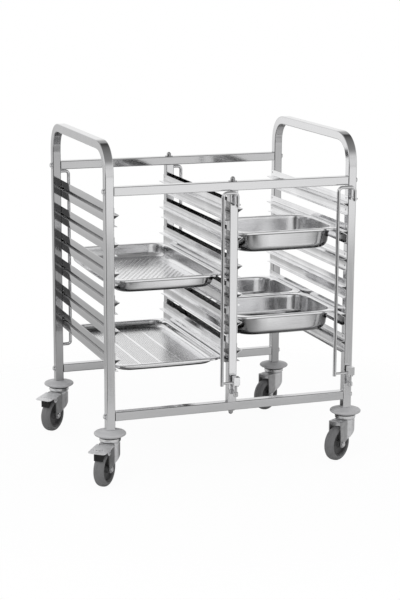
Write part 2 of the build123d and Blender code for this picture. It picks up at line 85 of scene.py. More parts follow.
def addVector(tree, operation, *vectors):
    node = addNode(tree, "ShaderNodeVectorMath", enumerate(vectors), operation=operation)
    return node.outputs["Value" if operation == "LENGTH" else "Vector"]


def addRamp(tree, value, start, full, low=0.0, high=1.0):
    # a smooth change from low to high as the value goes from start to full
    given = {"Value": value, "From Min": start, "From Max": full, "To Min": low, "To Max": high}
    return addNode(tree, "ShaderNodeMapRange", given, interpolation_type="SMOOTHSTEP").outputs["Result"]


def addTone(tree, share, first, second, clamped=True):
    # a colour between two others
    given = {"Factor": share, "A": first, "B": second}
    return addNode(tree, "ShaderNodeMix", given, data_type="RGBA", clamp_factor=clamped).outputs["Result"]


def addBlend(tree, share, first, second):
    # a shader between two others
    return addNode(tree, "ShaderNodeMixShader", enumerate((share, first, second))).outputs[0]


def addNoise(tree, **given):
    return addNode(tree, "ShaderNodeTexNoise", given).outputs["Fac"]


def newGroup(name, inputs, outputs):
    # a shader group: inputs are numbers or vectors, as their first values are, and outputs are numbers
    group = bpy.data.node_groups.new(name, "ShaderNodeTree")
    for label, value in inputs.items():
        kind = "NodeSocketVector" if isinstance(value, tuple) else "NodeSocketFloat"
        group.interface.new_socket(label, in_out="INPUT", socket_type=kind).default_value = value
    for label in outputs:
        group.interface.new_socket(label, in_out="OUTPUT", socket_type="NodeSocketFloat")
    return group, group.nodes.new("NodeGroupInput").outputs, group.nodes.new("NodeGroupOutput")


grainLook = {
    "grainDetail": 2.0, "smearScale": 14.0, "smearDetail": 3.0, "grainShare": 0.6, "smearShare": 0.4,
    "underFrom": -0.15, "underFull": -0.60,      # how far a face looks down where its painted shade starts and ends
    "smoothest": 0.02, "relief": 0.0004, "cool": 1.01,
}
mouldLook = {"cloud": 60.0, "pebble": 900.0, "relief": 0.0003, "cool": 1.02}


def facingUp(group):
    # the upward part of the surface's direction
    normal = addNode(group, "ShaderNodeNewGeometry").outputs["Normal"]
    return addNode(group, "ShaderNodeSeparateXYZ", {0: normal}).outputs["Z"]


def brushedGroup(s):
    # grain is noise stretched along one axis, smear is broad cloudy noise from handling;
    # roughness = base + grain part + smear part, tone = share of the brighter colour,
    # less where shade is painted: on undersides, and by each piece's painted shade value
    group, given, result = newGroup(
        "brushedGrain", {"Stretch": (400.0, 400.0, 8.0), "Roughness": 0.2, "Grain": 0.05, "Smear": 0.05,
                         "UnderShade": 0.0, "PaintedShade": 0.0}, ("Roughness", "Height", "Tone"))
    place = addNode(group, "ShaderNodeTexCoord").outputs["Object"]
    stretched = addVector(group, "MULTIPLY", place, given["Stretch"])
    grain = addNoise(group, Vector=stretched, Scale=1.0, Detail=s["grainDetail"])
    smear = addNoise(group, Vector=place, Scale=s["smearScale"], Detail=s["smearDetail"])
    rough = given["Roughness"]
    for noise, part in ((grain, given["Grain"]), (smear, given["Smear"])):
        rough = addMath(group, "MULTIPLY_ADD", addMath(group, "SUBTRACT", noise, 0.5), part, rough)
    smearTone = addMath(group, "MULTIPLY", smear, s["smearShare"])
    tone = addMath(group, "MULTIPLY_ADD", grain, s["grainShare"], smearTone)
    # painted shade: darker on faces that look down, and by each piece's painted shade value
    down = addRamp(group, facingUp(group), s["underFrom"], s["underFull"])
    shadePaint = addMath(group, "MAXIMUM", addMath(group, "MULTIPLY", down, given["UnderShade"]), given["PaintedShade"])
    feed(group, result, {
        "Roughness": addMath(group, "MAXIMUM", rough, s["smoothest"]), "Height": grain,
        "Tone": addMath(group, "SUBTRACT", tone, shadePaint)})
    return group


def mouldedGroup(s):
    # tone is cloudy noise, paler on faces that look up; height is a fine pebbled skin
    group, given, result = newGroup("mouldedSkin", {"PaleUp": 0.2}, ("Tone", "Height"))
    place = addNode(group, "ShaderNodeTexCoord").outputs["Object"]
    cloud, pebble = (addNoise(group, Vector=place, Scale=s[label]) for label in ("cloud", "pebble"))
    up = addMath(group, "MAXIMUM", facingUp(group), 0.0)
    tone = addMath(group, "MULTIPLY_ADD", up, given["PaleUp"], cloud)
    feed(group, result, {"Tone": tone, "Height": pebble})
    return group


brushedGrain = brushedGroup(grainLook)
mouldedSkin = mouldedGroup(mouldLook)


def dress(tree, bsdf, skin, pale, deep, bump, look):
    # colour between deep and pale by the skin's tone, both a little cool, and its height as a bump
    ends = [(tone, tone, tone * look["cool"], 1) for tone in (deep, pale)]
    relief = {"Strength": bump, "Distance": look["relief"], "Height": skin.outputs["Height"]}
    feed(tree, bsdf, {
        "Base Color": addTone(tree, skin.outputs["Tone"], *ends, clamped=False),
        "Normal": addNode(tree, "ShaderNodeBump", relief).outputs["Normal"]})


def steel(name, pale, deep, roughness, stretch, grain, smear, bump, under=0.0, drawn=False):
    # bright sheet or tube: metal whose roughness and tone follow the brushed grain;
    # pieces with painted shade carry a point value that darkens them
    mat, tree, bsdf = newMaterial(name)
    given = {"Stretch": stretch, "Roughness": roughness, "Grain": grain, "Smear": smear, "UnderShade": under}
    if drawn:
        given["PaintedShade"] = addNode(tree, "ShaderNodeAttribute", attribute_name="drawn").outputs["Fac"]
    skin = addNode(tree, "ShaderNodeGroup", given, node_tree=brushedGrain)
    feed(tree, bsdf, {"Metallic": 1.0, "Roughness": skin.outputs["Roughness"]})
    dress(tree, bsdf, skin, pale, deep, bump, grainLook)
    return mat


def moulded(name, pale, deep, roughness, paleUp, bump):
    # moulded rubber or plastic: mottled tone and a faint pebbled skin
    mat, tree, bsdf = newMaterial(name)
    skin = addNode(tree, "ShaderNodeGroup", {"PaleUp": paleUp}, node_tree=mouldedSkin)
    feed(tree, bsdf, {"Roughness": roughness})
    dress(tree, bsdf, skin, pale, deep, bump, mouldLook)
    return mat


# stretch of the grain: it runs along the small number
acrossX, acrossY, acrossZ = (12, 420, 420), (420, 12, 420), (420, 420, 12)
bayGrain, plateGrain, fineGrain = (170, 2, 170), (90, 90, 90), (300, 300, 300)
# steel: name, pale and deep tone, roughness, stretch, what grain and smear add to the roughness, bump,
# how dark the painted shade on undersides is, whether it carries a painted shade value;
# moulded: name, pale and deep tone, roughness, paleness on faces that look up, bump
finishes = {
    "tubeUp": steel("tubeSteelUpright", 0.84, 0.68, 0.09, acrossZ, 0.08, 0.06, 0.03),
    "tubeAcross": steel("tubeSteelAcross", 0.84, 0.68, 0.09, acrossX, 0.08, 0.06, 0.03),
    # painted shade: the hoops, the bay runners, the pans and the forks darken by a value on each point, and
    # the pans also on faces that look down
    "hoop": steel("tubeSteelHoop", 0.84, 0.68, 0.09, acrossZ, 0.08, 0.06, 0.03, drawn=True),
    # painted shade: the rear top rail and the bottom rails are darker copies of the tube steel
    "railBackShaded": steel("tubeSteelBackShaded", 0.66, 0.52, 0.09, acrossX, 0.08, 0.06, 0.03),
    "railLowShaded": steel("tubeSteelLowShaded", 0.76, 0.62, 0.09, acrossX, 0.08, 0.06, 0.03),
    "runner": steel("runnerSteel", 0.86, 0.70, 0.06, acrossY, 0.04, 0.05, 0.02),
    # brushed grain with painted highlight and shade: the bay runners' grain runs past white into bright and
    # dark streaks along the strip
    "runnerBayGrainAndPaintedSheen": steel("runnerSteelBayGrainAndPaintedSheen", 1.30, 0.46, 0.12, bayGrain, 0.10, 0.05, 0.22, drawn=True),
    # painted shade: the backs of the centre runners and the hollows of the ridges are near black
    "runnerBackShade": steel("runnerSteelBackShade", 0.16, 0.08, 0.12, acrossY, 0.04, 0.05, 0.02),
    "runnerGrooveShade": steel("runnerSteelGrooveShade", 0.30, 0.20, 0.16, acrossY, 0.04, 0.05, 0.02),
    "rod": steel("rodSteel", 0.86, 0.74, 0.08, acrossZ, 0.06, 0.06, 0.02),
    "pan": steel("panSteel", 0.98, 0.82, 0.15, acrossX, 0.08, 0.10, 0.03, 4.2, True),
    "panShade": steel("panSteelShade", 0.34, 0.22, 0.30, acrossX, 0.08, 0.10, 0.03),
    # painted light: sieve bottoms are a brighter copy of the pan steel; painted shade darkens the hole walls
    "panFloorLit": steel("panSteelFloorLit", 1.0, 0.88, 0.20, acrossX, 0.06, 0.08, 0.02),
    "holeWallShade": steel("holeWallShadeSteel", 0.30, 0.20, 0.30, fineGrain, 0.06, 0.08, 0.0),
    "zinc": steel("zincPlate", 0.98, 0.78, 0.22, plateGrain, 0.12, 0.12, 0.05),
    "fork": steel("forkPlate", 1.0, 0.58, 0.44, plateGrain, 0.10, 0.10, 0.04, drawn=True),
    "pedal": steel("pedalPlate", 1.05, 0.90, 0.55, plateGrain, 0.10, 0.10, 0.04),
    "fastener": steel("fastenerSteel", 0.80, 0.66, 0.14, fineGrain, 0.10, 0.08, 0.05),
    "weld": steel("weldSteel", 0.55, 0.40, 0.28, fineGrain, 0.10, 0.08, 0.05),
    "bumper": moulded("bumperRubber", 0.48, 0.38, 0.5, 0.25, 0.2),
    "core": moulded("wheelCorePlastic", 0.09, 0.055, 0.45, 0.1, 0.15),
    "tyre": moulded("tyreRubber", 0.175, 0.12, 0.42, 0.1, 0.2),
    "shoe": moulded("shoeRubber", 0.010, 0.005, 0.7, 0.0, 0.2),
    "seam": moulded("seamShadow", 0.09, 0.05, 0.7, 0.0, 0.1),
}
finishByName = {
    "front_bottom_rail": "railLowShaded", "rear_bottom_rail": "railLowShaded", "rear_top_rail": "railBackShaded",
    "post_bolts": "weld",
}
finishByWord = {      # of the solids that stay as they are
    "rail": "tubeAcross", "axle": "fastener", "bolts": "fastener", "nuts": "fastener", "pin": "fastener",
    "bar": "rod", "stop": "rod", "arm": "rod", "block": "rod", "tabs": "rod",
    "cups": "zinc", "stems": "zinc", "plugs": "zinc", "pedal": "pedal", "shoe": "shoe",
}


def finishOf(node):
    # a solid's finish by its own name, or else by the last word of it; plain upright tube otherwise
    return finishByName.get(node) or finishByWord.get(node.split("_")[-1], "tubeUp")


for nodeName, nodeObject in nodes.items():
    nodeObject.data.materials.clear()
    nodeObject.data.materials.append(finishes[finishOf(nodeName)])
print("finishes set")


# Surfaces: points on grids, faces from index arrays

def spread(x, y, z):
    # points from three arrays, each stretched over the others
    return np.stack(np.broadcast_arrays(x, y, z), -1)


def onCircle(angle):
    return np.stack([np.cos(angle), np.sin(angle)], -1)


def unit(vectors):
    return vectors / np.linalg.norm(vectors, axis=-1, keepdims=True)


def leftOf(vectors):
    # flat directions turned a quarter to the left
    return np.stack([-vectors[..., 1], vectors[..., 0]], -1)


def ramp(value, start, width):
    # rises from 0 at the start to 1 a width further on
    return np.clip((value - start) / width, 0, 1)


def gridFaces(countU, countV, closeU=False, closeV=False):
    # quads between neighbours of a countU by countV grid of points
    u = np.arange(countU if closeU else countU - 1)[:, None]
    v = np.arange(countV if closeV else countV - 1)[None, :]
    nextU = (u + 1) % countU
    nextV = (v + 1) % countV
    corners = (u * countV + v, nextU * countV + v, nextU * countV + nextV, u * countV + nextV)
    return np.stack(np.broadcast_arrays(*corners), -1).reshape(-1, 4)


def copiesOf(faces, copies, stride):
    # the same faces for several grids that follow each other in one list of points
    return (faces[None] + np.arange(copies)[:, None, None] * stride).reshape(-1, faces.shape[1])


def meshPiece(name, points, faceSets, finish, body, replaced=(), crease=35, weld=False):
    # one object from points and arrays of faces; doubles merged on request, faces turned outwards
    mesh = bpy.data.meshes.new(name)
    faces = [face for faceSet in faceSets for face in faceSet.tolist()]
    mesh.from_pydata(np.reshape(points, (-1, 3)).tolist(), [], faces)
    work = bmesh.new()
    work.from_mesh(mesh)
    if weld:
        bmesh.ops.remove_doubles(work, verts=work.verts, dist=1e-6)
    bmesh.ops.recalc_face_normals(work, faces=work.faces)
    work.to_mesh(mesh)
    work.free()
    mesh.shade_smooth()
    mesh.set_sharp_from_angle(angle=math.radians(crease))
    mesh.materials.append(finishes[finish])
    piece = bpy.data.objects.new(name, mesh)
    bpy.context.scene.collection.objects.link(piece)
    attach(piece, body)
    if replaced:
        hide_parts(*replaced)
    return piece


def setPaintedShade(piece, values):
    # how much painted shade each point carries, for the finishes of pieces with painted shade
    piece.data.attributes.new("drawn", "FLOAT", "POINT").data.foreach_set("value", np.ravel(values))


def roundPath(corners, radii, steps):
    # a polyline whose inner corners are arcs: each arc is tangent to both sides at radius / tan(half angle)
    corners = np.array(corners, dtype=float)
    sweep = np.linspace(0, 1, steps + 1)[:, None]
    parts = [corners[:1]]
    for before, corner, after, radius in zip(corners, corners[1:], corners[2:], radii):
        inward, outward = unit(before - corner), unit(after - corner)
        half = math.acos(np.clip(np.dot(inward, outward), -1, 1)) / 2
        centre = corner + unit(inward + outward) * radius / math.sin(half)
        first, last = (corner + side * radius / math.tan(half) - centre for side in (inward, outward))
        turn = math.pi - 2 * half
        arc = np.sin((1 - sweep) * turn) * first + np.sin(sweep * turn) * last
        parts.append(centre + arc / math.sin(turn))
    return np.concatenate([*parts, corners[-1:]])


def normalsOf(path):
    # to the left of a line's heading at each of its points
    return leftOf(unit(np.gradient(path, axis=0)))


def twoSides(path, sheet):
    # the two skins of a folded sheet: the middle line moved half a sheet along its normal to each side
    normal = normalsOf(path)
    return path + normal * sheet / 2, path - normal * sheet / 2


def roundBox(halfX, halfY, corner, turns, sides=1):
    # points round a rectangle with arcs at its corners, for whole columns of sizes at once;
    # sides is how many steps each straight side is cut into
    quarter = np.linspace(0, np.pi / 2, turns + 1)
    angle = np.concatenate([quarter + k * np.pi / 2 for k in range(4)])[None, :]
    signX = np.repeat([1, -1, -1, 1], turns + 1)[None, :]
    signY = np.repeat([1, 1, -1, -1], turns + 1)[None, :]
    halfX, halfY, corner = (np.asarray(a, dtype=float).reshape(-1, 1) for a in (halfX, halfY, corner))
    x = signX * (halfX - corner) + corner * np.cos(angle)
    y = signY * (halfY - corner) + corner * np.sin(angle)
    if sides == 1:
        return x, y
    arcs = np.stack([x, y], -1).reshape(len(x), 4, turns + 1, 2)
    share = (np.arange(1, sides) / sides)[:, None]
    straight = arcs[:, :, -1:] * (1 - share) + np.roll(arcs, -1, 1)[:, :, :1] * share
    loop = np.concatenate([arcs, straight], 2).reshape(len(x), -1, 2)
    return loop[..., 0], loop[..., 1]


def revolved(profile, places, axes, turns, closed=True):
    # (r, h) profile swung round each axis: place + axis * h + r * (side * cos + other * sin);
    # gives points and faces, the grids of the places following each other
    profile = np.asarray(profile, dtype=float)
    axes = unit(np.asarray(axes, dtype=float))
    upright = np.abs(axes[:, 2:3]) > 0.9
    side = unit(np.cross(axes, np.where(upright, [[1.0, 0.0, 0.0]], [[0.0, 0.0, 1.0]])))
    other = np.cross(axes, side)
    angle = np.linspace(0, 2 * np.pi, turns, endpoint=False)[None, None, :, None]
    ring = side[:, None, None] * np.cos(angle) + other[:, None, None] * np.sin(angle)
    reach = profile[None, :, 0, None, None] * ring
    lift = axes[:, None, None] * profile[None, :, 1, None, None]
    points = np.asarray(places, dtype=float)[:, None, None] + (reach + lift) * mm
    faces = gridFaces(len(profile), turns, closeU=closed, closeV=True)
    return points, [copiesOf(faces, len(points), len(profile) * turns)]


def boxOf(node):
    # lowest and highest corners of a solid, in millimetres
    lowest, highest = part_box(node)
    return np.array(lowest) / mm, np.array(highest) / mm


# Pans and trays: drawn sheet with a turned-down lip, a flat rim, leaning walls and a rounded foot

trayLook = {
    "sheet": 0.9, "lip": 6.0, "band": 13.0, "rimCorner": 36.0, "bodyCorner": 48.0, "draft": 5.0, "land": 3.0,
    "lipRound": 1.9, "throatRound": 3.2, "turns": 14, "sides": 10, "steps": 8,
    "bow": 4.0, "bowEase": (6.0, 4.0), "sideShare": 0.6,      # of the walls, easing out at rim and foot
    "shade": 11.2,      # depth of the shadow under the lip
    "drawn": (1.4, 4.3), "drawnReach": 1.6, "drawnFrom": (4.0, 9.0), "footShare": 0.6,      # painted shade on the corners
    "rear": 26.0, "rearEase": 6.0, "rearFrom": 2.5, "rearDrop": 2.0,      # where painted shade darkens the back wall inside
}
panLook = dict(trayLook, bodyCorner=58.0)
# how dark the painted shade on the back wall inside is, for each tray
rearShadePaint = {"flat_tray": 4.0, "deep_tray": 1.2}
trayHoles = {"pitch": 6.0, "radius": 1.75, "panels": 4, "columns": 9, "rows": 73, "strip": 7.0}
deepHoles = {"pitch": 15.2, "radius": 3.7, "columns": 15, "rows": 32}


def panSkins(s, half, depth, footRound):
    # rings round the pan: each point of the folded section is a rounded rectangle, inset from the rim's edge
    thin = s["sheet"] / 2
    foot = s["band"] + thin + (depth - thin) * math.tan(math.radians(s["draft"]))
    section = roundPath(
        [(thin, -s["lip"]), (thin, -thin), (s["band"] + thin, -thin), (foot, thin - depth),
         (foot + footRound + s["land"], thin - depth)],
        [s["lipRound"], s["throatRound"], footRound - thin], s["steps"])
    # one more ring on the wall, where the shade under the lip ends
    throat = 2 * s["steps"] + 2
    above, below = section[throat], section[throat + 1]
    share = np.clip((above[1] + s["shade"]) / (above[1] - below[1]), 0.1, 0.9)
    section = np.insert(section, throat + 1, above + (below - above) * share, 0)
    # painted shade on the corners: one at the middle of each corner, fading out along the straight sides
    sides, reach = s["sides"], s["drawnReach"]
    arc = 0.5 + 0.5 * np.sin(np.linspace(0, np.pi, s["turns"] + 1))
    straight = np.interp(np.arange(1, sides), [0, reach, sides - reach, sides], [0.5, 0, 0, 0.5])
    around = np.tile(np.concatenate([arc, straight]), 4)
    inner = foot + footRound
    bowEnds = [s["band"], s["band"] + s["bowEase"][0], inner - s["bowEase"][1], inner]
    drawnEnds = [*s["drawnFrom"], depth - footRound * s["footShare"], depth - 1]
    skins, drawn = [], []
    for side, shadeLevel in zip(twoSides(section, s["sheet"]), s["drawn"]):
        inset, level = side[:, 0], side[:, 1]
        corner = np.interp(inset, [0, s["band"]], [s["rimCorner"], s["bodyCorner"]])
        corner = corner - np.maximum(inset - s["band"], 0)
        x, y = roundBox(half[0] - inset, half[1] - inset, corner, s["turns"], sides)
        # a wall's points stand in by the square of their way from its middle: less on the rim and the bottom
        bow = s["bow"] * np.interp(inset, bowEnds, [0, 1, 1, 0])[:, None]
        spanX, spanY = np.abs(x).max(1)[:, None], np.abs(y).max(1)[:, None]
        bowX = bow * (y / spanY) ** 2 * (np.abs(x) > spanX * s["sideShare"])
        bowY = bow * (x / spanX) ** 2 * (np.abs(y) > spanY * s["sideShare"])
        x, y = x - np.sign(x) * bowX, y - np.sign(y) * bowY
        skins.append(spread(x, y, level[:, None]))
        wall = np.interp(-level, drawnEnds, [0, 1, 1, 0])[:, None]
        drawn.append(shadeLevel * wall * around)
    return skins, drawn


def holeRims(middle, radius, sides, turn, start):
    # a many-sided hole round each middle, and the numbers of its points counted from start
    rims = middle[:, None] + radius * onCircle(turn + np.arange(sides) * 2 * math.pi / sides)
    rim = start + np.arange(len(middle))[:, None] * sides + np.arange(sides)[None, :]
    return rims.reshape(-1, 2), rim


def panelledField(s):
    # square cells with an eight-sided hole in each, in panels with plain strips between them
    panelWide = s["columns"] * s["pitch"]
    wide = s["panels"] * panelWide + (s["panels"] - 1) * s["strip"]
    starts = -wide / 2 + np.arange(s["panels"]) * (panelWide + s["strip"])
    edgesX = (starts[:, None] + np.arange(s["columns"] + 1)[None, :] * s["pitch"]).ravel()
    edgesY = (np.arange(s["rows"] + 1) - s["rows"] / 2) * s["pitch"]
    countX, countY = len(edgesX), len(edgesY)
    corners = np.stack(np.meshgrid(edgesX, edgesY, indexing="ij"), -1).reshape(-1, 2)
    cells = gridFaces(countX, countY)
    plain = (np.arange(len(cells)) // (countY - 1)) % (s["columns"] + 1) == s["columns"]
    holed = cells[~plain]
    rims, rim = holeRims(corners[holed].mean(1), s["radius"], 8, 0, len(corners))
    a, b, c, d = holed.T
    fans = [np.stack([first, second, rim[:, k], rim[:, k - 1], rim[:, k - 2]], -1)
            for first, second, k in ((b, c, 1), (c, d, 3), (d, a, 5), (a, b, 7))]
    south, north = np.arange(countX) * countY, np.arange(countX) * countY + countY - 1
    west, east = np.arange(countY), (countX - 1) * countY + np.arange(countY)
    border = np.concatenate([south[:-1], east[:-1], north[:0:-1], west[:0:-1]])
    return np.concatenate([corners, rims]), cells[plain], np.concatenate(fans), rim, border


def staggeredField(s):
    # six-sided cells with a twelve-sided hole in each: corners lie on zigzag lines half a pitch apart,
    # and odd rows of cells stand half a pitch to the right
    side = s["pitch"] / math.sqrt(3)
    lines, places = s["rows"] + 1, 2 * s["columns"] + 2
    line, place = np.meshgrid(np.arange(lines), np.arange(places), indexing="ij")
    zigzag = np.where((line + place) % 2 == 1, -side / 4, side / 4)
    x = (place - (places - 1) / 2) * s["pitch"] / 2
    y = (line - s["rows"] / 2) * side * 1.5 + zigzag
    row = np.arange(s["rows"])
    shift = row % 2
    start = (row * places + shift)[:, None] + 2 * np.arange(s["columns"])[None, :]
    cells = start.reshape(-1, 1) + np.array([0, 1, 2, places + 2, places + 1, places])
    used, cells = np.unique(cells, return_inverse=True)
    cells = cells.reshape(-1, 6)
    corners = np.stack([x, y], -1).reshape(-1, 2)[used]
    rims, rim = holeRims(corners[cells].mean(1), s["radius"], 12, math.radians(210), len(corners))
    after, rimAfter = np.roll(cells, -1, 1), np.roll(rim, -2, 1)
    fans = np.stack([cells, after, rimAfter[:, ::2], rim[:, 1::2], rim[:, ::2]], -1).reshape(-1, 5)
    west = np.stack([row * places + shift, (row + 1) * places + shift], -1).ravel()
    east = west + places - 2
    south, north = np.arange(places - 1), np.arange(west[-1], east[-1] + 1)
    border = np.concatenate([south[:-1], east[:-1], north[:0:-1], west[:0:-1]])
    plain = np.empty((0, 4), dtype=np.int64)
    return np.concatenate([corners, rims]), plain, fans, rim, np.searchsorted(used, border)


def panPiece(node, footRound, holes):
    # two skins joined at the lip; the bottom is plain, or a field of holes joined to the foot by triangles
    low, high = boxOf(node)
    look = panLook if holes is None else trayLook
    skins, drawn = panSkins(look, (high - low)[:2] / 2, high[2] - low[2], footRound)
    rows, turns = skins[0].shape[:2]
    skinSize = rows * turns
    points = [skin.reshape(-1, 3) for skin in skins]
    ring = np.arange(turns)
    walls = gridFaces(rows, turns, closeV=True)
    lip = np.stack([ring, (ring + 1) % turns, (ring + 1) % turns + skinSize, ring + skinSize], -1)
    faceSets = [walls, walls + skinSize, lip]
    foot = (rows - 1) * turns + ring
    if holes is None:
        faceSets += [foot[None], foot[None] + skinSize]
    else:
        field, plain, fans, rim, border = holes
        loops = [skins[0][-1, :, :2], field[border]]
        flat = [[Vector((*p, 0)) for p in loop] for loop in loops]
        apron = np.array(tessellate_polygon(flat))
        for k, skin in enumerate(skins):
            start = 2 * skinSize + k * len(field)
            level = skin[-1, 0, 2]
            points.append(np.column_stack([field, np.full(len(field), level)]))
            owner = np.concatenate([foot + k * skinSize, border + start])
            faceSets += [plain + start, fans + start, owner[apron]]
        top, under = rim + 2 * skinSize, rim + 2 * skinSize + len(field)
        nextTop, nextUnder = np.roll(top, -1, 1), np.roll(under, -1, 1)
        faceSets.append(np.stack([top, nextTop, nextUnder, under], -1).reshape(-1, 4))
    points = np.concatenate(points) + np.array([*(low + high)[:2] / 2, high[2]])
    piece = meshPiece(node + "Sheet", points * mm, faceSets, "pan", node + "_body", (node,), 40)
    mesh = piece.data
    shadeLevel = np.zeros(len(points))
    shadeLevel[:2 * skinSize] = np.concatenate([part.ravel() for part in drawn])
    # painted shade on the wall inside at the back, from a little below the rim
    rear = ramp(skins[0][..., 1], (high - low)[1] / 2 - look["rear"], look["rearEase"])
    below = ramp(-skins[0][..., 2], look["rearFrom"], look["rearDrop"])
    shadeLevel[:skinSize] = np.maximum(shadeLevel[:skinSize], (rear * below).ravel() * rearShadePaint.get(node, 0))
    setPaintedShade(piece, shadeLevel)
    order = np.zeros(len(mesh.polygons), dtype=np.int32)
    mesh.materials.append(finishes["panShade"])      # the wall outside, close under the lip
    shade = len(walls) + (2 * look["steps"] + 2) * turns
    order[shade:shade + turns] = 1
    if holes is not None:      # painted light: the sieve bottom is a brighter copy of the pan steel, and painted shade makes its hole edges darker
        mesh.materials.append(finishes["panFloorLit"])
        mesh.materials.append(finishes["holeWallShade"])
        order[len(walls) * 2 + len(lip):] = 2
        order[-rim.size:] = 3
    mesh.polygons.foreach_set("material_index", order)


pans = {      # the round of the foot, and the holes of the bottom
    "deep_tray": (16, staggeredField(deepHoles)), "flat_tray": (10, panelledField(trayHoles)),
    "upper_pan": (20, None), "lower_front_pan": (20, None), "lower_rear_pan": (20, None),
}
for panNode, (panRound, panHoles) in pans.items():
    panPiece(panNode, panRound, panHoles)
print("pans drawn")


# Runners: one folded strip per tier, ledge rolled into a ridge, a web and a flange at its foot

runnerLook = {
    "sheet": 1.2, "rise": 20.0, "ridge": 15.85, "ridgeDrop": 10.6, "drop": 32.0, "flange": 9.5,
    "folds": (1.0, 0.65, 1.2, 1.8), "foldSteps": 6, "tiers": 6, "ledgeTop": 753.5, "pitch": 80.5,
    "shadow": (24.0, 32.0), "endShade": 0.75,      # painted shade on the front end beside the post, and where it fades out
    "grooveOut": 0.2, "grooveUp": 0.3,        # which way the hollow of a ridge faces
    "backNear": 0.05,                         # how close to the web's plane a back lies
}
runnerWays = {"left_runners": 1, "centre_left_runners": -1, "centre_right_runners": 1, "right_runners": -1}
hollowLook = {
    "depth": 1.5, "long": 4.0,
    "wedge": ((0.9, -1.3), (12.6, -1.3), (12.6, -1.7), (0.9, -9.0)),      # from the web and the ledge
}
weldLook = {"radius": 3.2, "high": 12.5, "low": -20.5, "reach": 277.5, "turns": 12}


def runnerPlaces(r, node, way):
    # both ends along Y, the plane of the web, and the level of the ledge at each tier
    low, high = boxOf(node)
    wall = low[0] if way > 0 else high[0]
    return low[1], high[1], wall, r["ledgeTop"] - r["pitch"] * np.arange(r["tiers"])


def runnerPiece(s, node, way):
    # the section's two skins swept along Y, repeated at each tier, with quads across the ends
    front, back, wall, tier = runnerPlaces(s, node, way)
    thin = s["sheet"] / 2
    section = roundPath(
        [(thin, s["rise"]), (thin, -thin), (s["ridge"], -thin), (thin, -s["ridgeDrop"]),
         (thin, -s["drop"] - thin), (s["flange"], -s["drop"] - thin)], s["folds"], s["foldSteps"])
    left, right = twoSides(section, s["sheet"])
    loop = np.concatenate([left, right[::-1]])
    count = len(loop)
    rows = np.array([front, front + s["shadow"][0], front + s["shadow"][1], back])
    points = spread(wall + way * loop[:, 0], rows[:, None], tier[:, None, None] + loop[:, 1])
    across = np.arange(count // 2 - 1)
    cap = np.stack([across, across + 1, count - 2 - across, count - 1 - across], -1)
    strips = gridFaces(len(rows), count, closeV=True)
    stride = len(rows) * count
    sets = [copiesOf(faces, s["tiers"], stride) for faces in (strips, cap, cap + stride - count)]
    finish = "runner" if node == "left_runners" else "runnerBayGrainAndPaintedSheen"
    piece = meshPiece(node + "Sheet", points * mm, sets, finish, "frame", (node,), 30)
    mesh = piece.data
    if node == "centre_left_runners":
        # painted shade on the front ends beside the post, fading out behind them
        endShade = np.array([s["endShade"], s["endShade"], 0, 0])[:, None]
        setPaintedShade(piece, np.broadcast_to(endShade, points.shape[:3]))
    if node.startswith("centre"):      # painted shade: the backs that face each other across the posts are near black
        mesh.materials.append(finishes["runnerBackShade"])
        dark = [abs(face.center.x / mm - wall) < s["backNear"] for face in mesh.polygons]
    else:      # painted shade in the hollow of the ridge, open on the leg's side
        mesh.materials.append(finishes["runnerGrooveShade"])
        dark = [face.normal.x * way < -s["grooveOut"] and face.normal.z > s["grooveUp"]
                for face in mesh.polygons]
    mesh.polygons.foreach_set("material_index", np.array(dark, dtype=np.int32))


def hollowPiece(s, r):
    # painted shade inside each ridge: a dark wedge the shape of its hollow, set back from both ends of the
    # strip
    wedge = np.array(s["wedge"])
    count = len(wedge)
    blocks = []
    for node, way in runnerWays.items():
        front, back, wall, tier = runnerPlaces(r, node, way)
        for first in (front + s["depth"], back - s["depth"] - s["long"]):
            rows = np.array([first, first + s["long"]])[:, None]
            blocks.append(spread(wall + way * wedge[:, 0], rows, tier[:, None, None] + wedge[:, 1]))
    points = np.concatenate(blocks)
    ends = np.arange(count)[None]
    block = (gridFaces(2, count, closeV=True), ends, ends + count)
    sets = [copiesOf(faces, len(points), 2 * count) for faces in block]
    meshPiece("ridgeHollowShades", points * mm, sets, "seam", "frame")


def weldPiece(s, r):
    # a shallow crater: a low ring round a sunken middle, closed inside the sheet
    profile = [(0, 0.02), (1.5, 0.03), (2.3, 0.28), (s["radius"], 0.0), (2.6, -0.3), (0, -0.3)]
    places, axes = [], []
    for node, way in runnerWays.items():
        wall, tier = runnerPlaces(r, node, way)[2:]
        levels = np.concatenate([tier + s["high"], tier + s["low"]])
        reach = np.array([-s["reach"], s["reach"]])[:, None]
        places.append(spread(wall + way * r["sheet"], reach, levels).reshape(-1, 3) * mm)
        axes += [(way, 0, 0)] * (2 * len(levels))
    points, sets = revolved(profile, np.concatenate(places), axes, s["turns"], False)
    meshPiece("spotWelds", points, sets, "weld", "frame", (), 50, True)


for runnerNode, runnerWay in runnerWays.items():
    runnerPiece(runnerLook, runnerNode, runnerWay)
hollowPiece(hollowLook, runnerLook)
weldPiece(weldLook, runnerLook)
print("runners folded")


# Wheels: a tyre with a shallow parting line and stepped walls on a dished core

castors = ("front_left", "rear_left", "front_right", "rear_right")
wheelLook = {"outer": 50.0, "inner": 37.0, "half": 15.5, "turns": 64}


def jointNamed(name):
    return next(joint for joint in frame["joints"] if joint["name"] == name)


